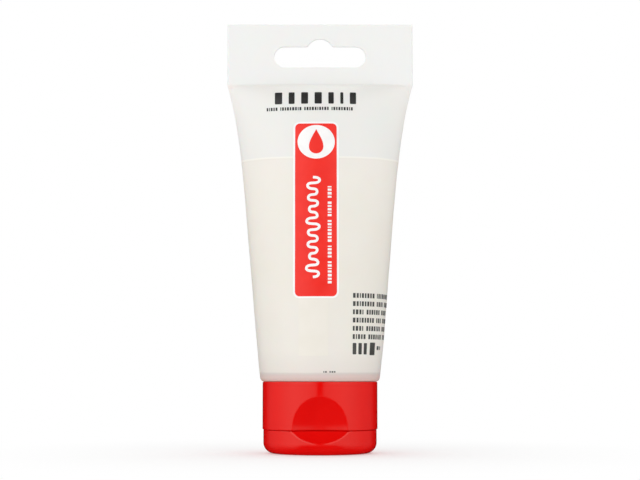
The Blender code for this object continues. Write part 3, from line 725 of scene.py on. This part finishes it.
def make_film(name, low_x, high_x):
    """A hinge film: a thin web with a land at each end that runs into the wall it is moulded on."""
    low_z, high_z = PARTING_Z - FILM_HALF_HEIGHT, PARTING_Z + FILM_HALF_HEIGHT
    corners = [((low_x, HINGE_Y - FILM_LAND, low_z), (high_x, HINGE_Y + FILM_LAND, high_z))]
    film = blocks(name, corners, corner=0.15, along=0)
    slice_up(film, 2, np.linspace(low_z, high_z, 27)[1:-1])
    points = points_of(film)
    away = np.clip(np.abs(points[:, 2] - PARTING_Z) / FILM_LAND_FROM, 0, 1)
    half = FILM_WEB + (FILM_LAND - FILM_WEB) * away**2
    points[:, 1] = HINGE_Y + (points[:, 1] - HINGE_Y) / FILM_LAND * half - FILM_SINK * away
    move_points(film, points)
    return film


def make_strap():
    """The snap strap: a round-ended bar, thinner in the middle."""
    half_height = (strap_high.z - strap_low.z) / 2
    middle_y = (strap_low.y + strap_high.y) / 2
    end = (strap_high.y - strap_low.y) / 2
    outline = arc(middle_y, PARTING_Z + half_height, end, 0, 180, 8)
    outline += [(middle_y - end + STRAP_WAIST, PARTING_Z)]
    outline += arc(middle_y, PARTING_Z - half_height, end, 180, 360, 8)
    outline += [(middle_y + end - STRAP_WAIST, PARTING_Z)]
    strap = plate("hinge_strap", [outline], strap_low.x, strap_high.x)
    points = points_of(strap)
    move_points(strap, points[:, [1, 0, 2]])
    bpy.ops.object.mode_set(mode="EDIT")
    tidy_up()
    return strap


# ---- the print


def lay_on(ink, layer):
    """Lay flat print on the sleeve. Its x is the way round from the front, -y its height in ink."""
    points = points_of(ink)
    table = np.linspace(FRONT, FRONT + FULL_TURN, 4 * 360 + 1)  # every quarter of a degree
    for z in np.unique(np.round(points[:, 2], 3)):
        here = np.round(points[:, 2], 3) == z
        x, y, out_x, out_y = sleeve_surface(table, z)
        along = np.concatenate(([0], np.cumsum(np.hypot(np.diff(x), np.diff(y)))))
        angle = np.interp(points[here, 0] % along[-1], along, table)
        x, y, out_x, out_y = sleeve_surface(angle, z)
        lift = layer * INK_STEP + INK_LIFT - points[here, 1]
        points[here, 0], points[here, 1] = x + out_x * lift, y + out_y * lift
    move_points(ink, points)
    work_on(ink)
    bpy.ops.object.mode_set(mode="EDIT")
    tidy_up()


def strips(ink):
    """Cut flat print into strips fine enough to follow the sleeve."""
    points = points_of(ink)
    low, high = points.min(0), points.max(0)
    first_x, first_z = math.ceil(low[0]), math.ceil(low[2])
    slice_up(ink, 0, np.arange(first_x, high[0], STRIP_WIDTH))
    slice_up(ink, 2, np.arange(first_z, min(high[2], FOLD_Z), STRIP_HEIGHT))
    slice_up(ink, 2, np.arange(max(first_z, FOLD_Z), high[2], FOLD_STRIP_HEIGHT))


def rounded(middle_x, middle_z, width, height, radius):
    """Outline of a rectangle with round corners."""
    x, z = width / 2 - radius, height / 2 - radius
    outline = []
    for side_x, side_z, first in ((1, 1, 0), (-1, 1, 90), (-1, -1, 180), (1, -1, 270)):
        outline += arc(middle_x + side_x * x, middle_z + side_z * z, radius, first, first + 90, 6)
    return outline


def oval(middle_x, middle_z, width, height):
    """Outline of an ellipse."""
    return [
        (middle_x + width / 2 * x, middle_z + height / 2 * z)
        for x, z in arc(0, 0, 1, 0, 360, 64)[:-1]
    ]


def drop(middle_x, middle_z, width, height):
    """Outline of a falling drop, its point upwards."""
    angles = np.linspace(0, FULL_TURN, 49)[:-1]
    wide = np.sin(angles) * np.sin(angles / 2) ** 1.4
    return list(zip(middle_x + width / 1.62 * wide, middle_z + height / 2 * np.cos(angles)))


LETTER_SHARES = (1.0, 0.8, 1.1, 0.9, 0.5, 0.95, 0.75)  # widths of a line's blank letters, in turn
LETTER_GAP, WORD_SPACE = 0.5, 1.1  # in letter widths


def words(first, middle, height, letter, counts, upright=False):
    """Boxes for a line of blank words of so many letters each, read along X or upwards."""
    boxes = []
    for count in counts:
        for index in range(count):
            last = first + letter * LETTER_SHARES[(index + 2 * count) % len(LETTER_SHARES)]
            spans = ((first, last), (middle - height / 2, middle + height / 2))
            (low_x, high_x), (low_z, high_z) = spans[::-1] if upright else spans
            boxes.append(((low_x, -INK, low_z), (high_x, 0, high_z)))
            first = last + letter * LETTER_GAP
        first += letter * WORD_SPACE
    return boxes


def bars(first, middle_z, height, widths, gap):
    """Boxes for a row of bars with gaps between them."""
    boxes = []
    for width in widths:
        low, high = middle_z - height / 2, middle_z + height / 2
        boxes.append(((first, -INK, low), (first + width, 0, high)))
        first += width + gap
    return boxes


PANEL_X = -1.36
PANEL_LOW_Z, PANEL_HIGH_Z = 51.2, 108.8
PANEL_WIDTH = 13.75
PANEL_OUTLINE = 0.65
EMBLEM_X, EMBLEM_Z = PANEL_X + 0.1, 102.5
FOLD_Z = 100.0  # above this the film bends so much that print needs finer strips
SIDE_X = 11.0  # the way round from the front's middle to the side's print
BACK_X = SLEEVE_GIRTH / 2  # the same for the middle of the back
BACK_TEXT_X = BACK_X - 15

# Blank text. Letters have a height and a width, and each row lists its words' numbers of letters.
SIDE_LETTER, BACK_LETTER = (1.55, 0.82), (1.1, 0.66)
SIDE_ROWS = ((8, 9), (8, 4, 6), (4, 6, 5), (8, 3, 6), (4, 7, 4), (5, 7, 3))
BACK_ROWS = ((6, 9, 5, 7), (8, 4, 7, 8), (5, 5, 9, 8), (9, 6, 4, 8), (4, 8, 8))
SIDE_TOP_Z, SIDE_SPACING = 51.6, 2.68
BACK_TOPS_Z, BACK_SPACING = (84.0, 66.5), 2.6

# The brush line on the panel.
LINE_POINTS = 230
LINE_HALF_WIDTH = 0.46
LINE_X = PANEL_X - 0.95
LINE_LOW_Z, LINE_HEIGHT = 57.5, 33.0
LINE_WAVES = 8.5


def make_scribble():
    """A brush line that waves up the panel, wider and narrower as a hand draws it."""
    deselect()
    bpy.ops.curve.primitive_nurbs_path_add()
    line = bpy.context.object
    line.name = "brush_line"
    share = np.linspace(0, 1, LINE_POINTS)
    phase = share * LINE_WAVES * FULL_TURN
    swing = 1.6 + 0.6 * np.sin(share * 21.0) * np.sin(share * 7.3 + 0.6)
    x = LINE_X + swing * np.sin(phase)
    z = LINE_LOW_Z + LINE_HEIGHT * share - 0.27 * np.sin(2 * phase)
    line.data.splines.remove(line.data.splines[0])
    spline = line.data.splines.new("POLY")
    spline.points.add(LINE_POINTS - 1)
    for point, across, up in zip(spline.points, x, z):
        point.co = (across * MM, 0, up * MM, 1)
    line.data.bevel_depth = LINE_HALF_WIDTH * MM
    line.data.bevel_resolution = 3
    line.data.use_fill_caps = True
    work_on(line)
    bpy.ops.object.convert(target="MESH")
    ink = bpy.context.object
    points = points_of(ink)
    points[:, 1] = points[:, 1] / LINE_HALF_WIDTH * INK / 2 - INK / 2
    move_points(ink, points)
    return ink


def make_print():
    """Every ink, bottom layer first, with the layer it lies on and its material."""
    panel_z = (PANEL_LOW_Z + PANEL_HIGH_Z) / 2
    height = PANEL_HIGH_Z - PANEL_LOW_Z
    grown = 2 * PANEL_OUTLINE
    ground = rounded(PANEL_X, panel_z, PANEL_WIDTH + grown, height + grown, 2.1)
    panel = rounded(PANEL_X, panel_z, PANEL_WIDTH, height, 1.5)
    bar = rounded(BACK_X, 93.0, 30.0, 5.0, 1.0)
    white_ground = plate("white_ground_ink", [ground], -INK, 0)
    red = plate("red_panel_ink", [panel, bar], -INK, 0)
    emblem = plate("emblem_white_ink", [oval(EMBLEM_X, EMBLEM_Z, 12.3, 11.5)], -INK, 0)
    mark = plate("emblem_drop_ink", [drop(EMBLEM_X, EMBLEM_Z + 0.2, 5.4, 8.4)], -INK, 0)
    patch = plate("patch_lacquer", [rounded(-2.2, 41.3, 9.7, 18.6, 0.4)], -INK, 0)
    small = words(55.4, 3.15, 1.25, 0.8, (7, 4, 7, 5, 4), upright=True)
    heading = bars(-15.2, 118.0, 4.3, (2.5, 2.0, 2.3, 2.4, 1.8, 1.0, 2.1), 2.2)
    subheading = words(-18.1, 114.1, 1.15, 0.62, (5, 9, 10, 9))
    side = []
    for row, counts in enumerate(SIDE_ROWS):
        side += words(SIDE_X, SIDE_TOP_Z - SIDE_SPACING * row, *SIDE_LETTER, counts)
    for row, counts in enumerate(BACK_ROWS):
        for top_z, order in zip(BACK_TOPS_Z, (1, -1)):
            z = top_z - BACK_SPACING * row
            side += words(BACK_TEXT_X, z, *BACK_LETTER, counts[::order])
    side += words(BACK_TEXT_X, 47.5, *BACK_LETTER, (7, 5))
    side += words(1.1, 26.8, 0.5, 0.55, (2, 3))
    figures = bars(SIDE_X, 34.3, 3.7, (1.35, 1.35, 1.35), 0.85)
    figures += bars(SIDE_X + 7.2, 34.3, 4.1, (2.7,), 0)
    figures += bars(SIDE_X + 11.2, 34.6, 1.3, (1.3, 0.6), 0.6)
    small = blocks("panel_words_ink", small)
    black = blocks("heading_ink", heading, 0.3)
    fine_black = blocks("subheading_ink", subheading)
    grey = blocks("small_words_ink", side)
    figures = blocks("side_marks_ink", figures, 0.25)
    made = [
        (patch, 0, "clear"),
        (white_ground, 0, "white"),
        (red, 1, "red"),
        (emblem, 2, "white"),
        (mark, 3, "red"),
        (small, 2, "white"),
        (make_scribble(), 2, "white"),
        (black, 0, "black"),
        (fine_black, 0, "black"),
        (grey, 0, "grey"),
        (figures, 0, "grey"),
    ]
    for ink, layer, _ in made:
        if ink.name != "brush_line":
            strips(ink)
        lay_on(ink, layer)
    return made


# ---- materials


def linear(code):
    """A colour from its sRGB hex code, in the linear values that shaders take."""
    values = [int(code[i : i + 2], 16) / 255 for i in (1, 3, 5)]
    return [v / 12.92 if v <= 0.04045 else ((v + 0.055) / 1.055) ** 2.4 for v in values] + [1.0]


def add_node(tree, kind, settings=None, inputs=None, stops=()):
    """A node with its settings, its inputs set or linked, and its colour stops if it has any."""
    made = tree.nodes.new("ShaderNode" + kind)
    for name, value in (settings or {}).items():
        setattr(made, name, value)
    for name, value in (inputs or {}).items():
        if isinstance(value, bpy.types.NodeSocket):
            tree.links.new(value, made.inputs[name])
        else:
            made.inputs[name].default_value = value
    if stops:
        elements = made.color_ramp.elements
        elements.remove(elements[-1])
        elements[0].position, elements[0].color = stops[0]
        for place, colour in stops[1:]:
            elements.new(place).color = colour
    return made


def per_mm(length):
    """The texture scale at which one repeat is so many millimetres long."""
    return 1 / (length * MM)


def new_material(name, settings):
    """A material, its nodes, its shader with plain values set, and the place on the object."""
    material = bpy.data.materials.new(name)
    material.use_nodes = True
    shader = material.node_tree.nodes["Principled BSDF"]
    for socket, value in settings.items():
        shader.inputs[socket].default_value = value
    place = add_node(material.node_tree, "TexCoord").outputs["Object"]
    return material, material.node_tree, shader, place


def surface_grain(tree, shader, place, length, height, rough_low, rough_high):
    """Fine unevenness of a moulded or coated surface, in its relief and in its gloss."""
    noise = {"Vector": place, "Scale": per_mm(length), "Detail": 3.0}
    grain = add_node(tree, "TexNoise", inputs=noise).outputs["Fac"]
    uneven = {"Height": grain, "Distance": height * MM, "Strength": 1.0}
    bump = add_node(tree, "Bump", inputs=uneven)
    spread = {"From Min": 0.3, "From Max": 0.7, "To Min": rough_low, "To Max": rough_high}
    gloss = add_node(tree, "MapRange", inputs={"Value": grain, **spread})
    tree.links.new(gloss.outputs["Result"], shader.inputs["Roughness"])
    tree.links.new(bump.outputs["Normal"], shader.inputs["Normal"])


def two_shades(tree, shader, pattern, low, high, deep, light):
    """Base colour that drifts between two shades while a pattern goes from low to high."""
    stops = [(low, linear(deep)), (high, linear(light))]
    colour = add_node(tree, "ValToRGB", inputs={"Fac": pattern}, stops=stops)
    tree.links.new(colour.outputs["Color"], shader.inputs["Base Color"])


def film_material():
    """Satin white polyethylene film: whiter where it is empty, warm where paint lies against it."""
    settings = {"IOR": 1.5, "Subsurface Weight": 0.12, "Subsurface Scale": 1.2 * MM}
    material, tree, shader, place = new_material("extruded_polyethylene_film", settings)
    height = add_node(tree, "SeparateXYZ", inputs={"Vector": place}).outputs["Z"]
    ripple_height = 0.5  # of the paint's level and of the colours' borders
    wave = {"Vector": place, "Scale": per_mm(14), "Detail": 1.0}
    ripple = add_node(tree, "TexNoise", inputs=wave).outputs["Fac"]
    lifted = {0: ripple, 1: ripple_height * MM, 2: height}
    wavy = add_node(tree, "Math", {"operation": "MULTIPLY_ADD"}, lifted).outputs["Value"]
    low, high = LIP_Z, TOP_Z
    first, last = ((z + ripple_height / 2) * MM for z in (low, high))
    whole = {"Value": wavy, "From Min": first, "From Max": last}
    share = add_node(tree, "MapRange", inputs=whole)
    # Painted shade and reflected light in the film's colour: the stops from 24.0 to 26.3 darken the
    # rolled lip and tint it pink, like red light thrown up from the cap.
    # The dark stop at 97.1 paints a shadow line just under the paint's level, below a lighter cream
    # line, and the body lightens a little from the lip upwards.
    stops = [
        (24.0, "#dfc6bf"), (25.6, "#dcc8c3"), (26.3, "#d9d0cb"), (26.7, "#e9e2dc"),
        (34.0, "#eee9e2"), (60.0, "#eee9e1"), (90.0, "#f0ebe4"), (96.85, "#f0ebe5"),
        (97.1, "#e6e1d7"), (97.3, "#f9f5ed"), (97.7, "#edebe7"), (CREASE_Z - 0.3, "#edebe7"),
        (CREASE_Z + 0.2, "#f1f2f0"), (TOP_Z, "#f1f2f0"),
    ]
    stops = [((z - low) / (high - low), linear(code)) for z, code in stops]
    colour = add_node(tree, "ValToRGB", inputs={"Fac": share.outputs["Result"]}, stops=stops)
    cloudy = {"Vector": place, "Scale": per_mm(11), "Detail": 3.0}
    cloud = add_node(tree, "TexNoise", inputs=cloudy).outputs["Fac"]
    touched = add_node(
        tree,
        "MapRange",
        inputs={"Value": height, "From Min": (PAINT_LEVEL_Z + 0.2) * MM,
                "From Max": (PAINT_LEVEL_Z - 0.2) * MM, "To Min": 0.05, "To Max": 0.3},
    )
    amounts = {0: cloud, 1: touched.outputs["Result"]}
    amount = add_node(tree, "Math", {"operation": "MULTIPLY"}, amounts)
    mottled = add_node(
        tree,
        "Mix",
        {"data_type": "RGBA", "blend_type": "MULTIPLY"},
        {"Factor": amount.outputs["Value"], "A": colour.outputs["Color"], "B": linear("#f3f0e2")},
    )
    tree.links.new(mottled.outputs["Result"], shader.inputs["Base Color"])
    surface_grain(tree, shader, place, 1.6, 0.012, 0.34, 0.46)
    return material


def moulded_material(name, deep, light, roughness, extra):
    """A moulded plastic: its colour drifts a little along the melt's flow."""
    material, tree, shader, place = new_material(name, {"IOR": 1.49, **extra})
    flow = add_node(tree, "Mapping", inputs={"Vector": place, "Scale": (1.0, 1.0, 0.35)})
    drift = add_node(
        tree,
        "TexNoise",
        inputs={"Vector": flow.outputs["Vector"], "Scale": per_mm(9), "Detail": 2.0,
                "Distortion": 0.6},
    )
    two_shades(tree, shader, drift.outputs["Fac"], 0.3, 0.7, deep, light)
    surface_grain(tree, shader, place, 0.8, 0.004, roughness - 0.03, roughness + 0.05)
    return material


def ink_material(name, deep, light):
    """Screen-printed, lamp-cured ink: slightly glossier than the film, and never quite even."""
    material, tree, shader, place = new_material(name, {"IOR": 1.5})
    spread = add_node(
        tree, "TexNoise", inputs={"Vector": place, "Scale": per_mm(5), "Detail": 4.0}
    )
    two_shades(tree, shader, spread.outputs["Fac"], 0.35, 0.65, deep, light)
    surface_grain(tree, shader, place, 1.6, 0.01, 0.3, 0.42)
    return material


def foam_material():
    """Pressed polyethylene foam: matt, with pores 0.3 mm across, drawn 0.5 mm wide to be seen."""
    settings = {"IOR": 1.45, "Roughness": 0.85}
    material, tree, shader, place = new_material("pressed_foam", settings)
    pores = add_node(
        tree, "TexVoronoi", inputs={"Vector": place, "Scale": per_mm(0.5)}
    ).outputs["Distance"]
    two_shades(tree, shader, pores, 0.1, 0.6, "#d8d6cf", "#f0efea")
    bump = add_node(tree, "Bump", inputs={"Height": pores, "Distance": 0.1 * MM, "Strength": 0.8})
    tree.links.new(bump.outputs["Normal"], shader.inputs["Normal"])
    return material


def paint_material():
    """Wet acrylic paint of a warm buff: glossy, with soft swirls of pigment."""
    settings = {"IOR": 1.5, "Coat Weight": 0.4, "Coat Roughness": 0.08}
    material, tree, shader, place = new_material("wet_acrylic_paint", settings)
    swirl = add_node(
        tree,
        "TexNoise",
        inputs={"Vector": place, "Scale": per_mm(7), "Detail": 3.0, "Distortion": 1.5},
    )
    two_shades(tree, shader, swirl.outputs["Fac"], 0.3, 0.7, "#dfd6c0", "#e9e2d0")
    surface_grain(tree, shader, place, 3.0, 0.05, 0.16, 0.28)
    return material


def finish(piece, material, body, slot, *nodes):
    """Give a piece its material, its smooth shading, its body and the CAD nodes it stands for."""
    work_on(piece)
    piece.data.materials.clear()
    piece.data.materials.append(material)
    bpy.ops.object.shade_smooth_by_angle(angle=math.radians(SMOOTH_UP_TO))
    if body:
        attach(piece, body)
    if nodes:
        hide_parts(*nodes)
    deselect()


# ---- floor, light and camera


def make_stage():
    """A pale floor that runs out to white."""
    deselect()
    bpy.ops.mesh.primitive_circle_add(
        vertices=96, radius=FLOOR_RADIUS * MM, fill_type="NGON", location=(0, 0, -FLOOR_GAP * MM)
    )
    floor = bpy.context.object
    floor.name = "floor"
    bpy.ops.object.transform_apply(location=True)
    settings = {"Roughness": 0.9, "Specular IOR Level": 0.1, "Base Color": linear("#fafafa")}
    material, tree, shader, place = new_material("matt_white_paper", settings)
    reach = add_node(tree, "VectorMath", {"operation": "LENGTH"}, {0: place})
    first, last = FLOOR_FADE
    fade = add_node(
        tree,
        "MapRange",
        {"interpolation_type": "SMOOTHSTEP"},
        {"Value": reach.outputs["Value"], "From Min": first * MM, "From Max": last * MM},
    )
    white = {"Color": linear("#ffffff"), "Strength": 1.0}
    glow = add_node(tree, "Emission", inputs=white).outputs["Emission"]
    mix = add_node(
        tree,
        "MixShader",
        inputs={"Fac": fade.outputs["Result"], 1: shader.outputs["BSDF"], 2: glow},
    )
    tree.links.new(mix.outputs["Shader"], tree.nodes["Material Output"].inputs["Surface"])
    floor.data.materials.append(material)
    floor.visible_glossy = False  # the cap's underside stays deep red, with no pale floor in it


def make_world():
    """A light tent: soft panels left and right that fade towards the back, brighter above. The
    gap in front and the one behind are dark, which gives round glossy pieces their middle line
    and their dark edges. The eye itself sees plain white all round."""
    world = bpy.data.worlds.new("light_tent")
    bpy.context.scene.world = world
    world.use_nodes = True
    tree = world.node_tree
    way = add_node(tree, "TexCoord").outputs["Generated"]
    x, y, z = add_node(tree, "SeparateXYZ", inputs={"Vector": way}).outputs
    seen = add_node(tree, "LightPath").outputs["Is Camera Ray"]
    known = {"x": x, "y": y, "z": z, "seen": seen}
    stops = [(angle / 180, [value, value, value, 1.0]) for angle, value in TENT_BRIGHTNESS]
    step_inputs = ("Value", "From Min", "From Max", "To Min", "To Max")
    for name, operation, *values in TENT_STEPS:
        values = [known.get(value, value) for value in values]
        if operation == "RAMP":
            made = add_node(tree, "ValToRGB", inputs={"Fac": values[0]}, stops=stops)
        elif operation == "STEP":
            smooth = {"interpolation_type": "SMOOTHSTEP"}
            made = add_node(tree, "MapRange", smooth, dict(zip(step_inputs, values)))
        else:
            made = add_node(tree, "Math", {"operation": operation}, dict(enumerate(values)))
        known[name] = made.outputs[0]
    back = tree.nodes["Background"]
    back.inputs["Color"].default_value = (1, 1, 1, 1)
    tree.links.new(known["light"], back.inputs["Strength"])


def make_camera():
    """In front of the tube near the surface it stands on, tilted up to take in the tail."""
    data = bpy.data.cameras.new("camera")
    data.lens = CAMERA_LENS
    data.sensor_width = 36.0
    camera = bpy.data.objects.new("camera", data)
    bpy.context.scene.collection.objects.link(camera)
    camera.location = (0, -CAMERA_DISTANCE * MM, CAMERA_HEIGHT * MM)
    camera.rotation_euler = (math.radians(90 + CAMERA_TILT), 0, 0)
    bpy.context.scene.camera = camera
    bpy.context.scene.view_settings.view_transform = "Standard"


# ---- the whole tube


film = film_material()
# Pigmented and glossy: a deep red with crisp, slightly warm highlights.
red_plastic = moulded_material(
    "moulded_polypropylene", "#e50a08", "#e90c09", 0.085,
    {"Specular Tint": (1.0, 0.98, 0.84, 1.0)},
)
# Without pigment: milky and satin, and light goes a little way into it.
head_plastic = moulded_material(
    "natural_polyethylene", "#dcd8cc", "#e6e2d8", 0.45,
    {"Subsurface Weight": 0.3, "Subsurface Scale": 2 * MM},
)
inks = {
    "white": ink_material("white_screen_ink", "#f6f4f3", "#fbfaf9"),
    "red": ink_material("red_screen_ink", "#f01a06", "#f5200b"),
    "black": ink_material("black_screen_ink", "#1c1b1a", "#262524"),
    "grey": ink_material("dark_grey_screen_ink", "#3a3a37", "#474642"),
    "clear": ink_material("clear_lacquer_over_buff", "#ece7dc", "#eee9df"),
}

sleeve = make_sleeve()
press_flat(sleeve)
combine(sleeve, plate("slot_punch", [slot_outline()], -3, 3), "DIFFERENCE")
finish(sleeve, film, "tube", "sleeve_film", "tube_sleeve")
for ink, _, shade in make_print():
    finish(ink, inks[shade], "tube", None)

finish(make_head(), head_plastic, "tube", "head_plastic", "tube_head")
finish(make_cap(), red_plastic, "cap", "cap_plastic", "cap_base")
finish(make_lid(), red_plastic, "lid", "cap_plastic", "cap_lid")
finish(make_strap(), red_plastic, "strap", "cap_plastic", "snap_strap")
for side, low_x, high_x in (
    ("left", -film_high.x, -film_low.x),
    ("right", film_low.x, film_high.x),
):
    web = make_film(f"film_{side}", low_x, high_x)
    finish(web, red_plastic, None, "cap_plastic", f"hinge_film_{side}")
    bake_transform(web)

frame["nodes"]["paint_fill"].material_slots[0].material = paint_material()
frame["nodes"]["cap_liner"].material_slots[0].material = foam_material()

make_stage()
make_world()
make_camera()
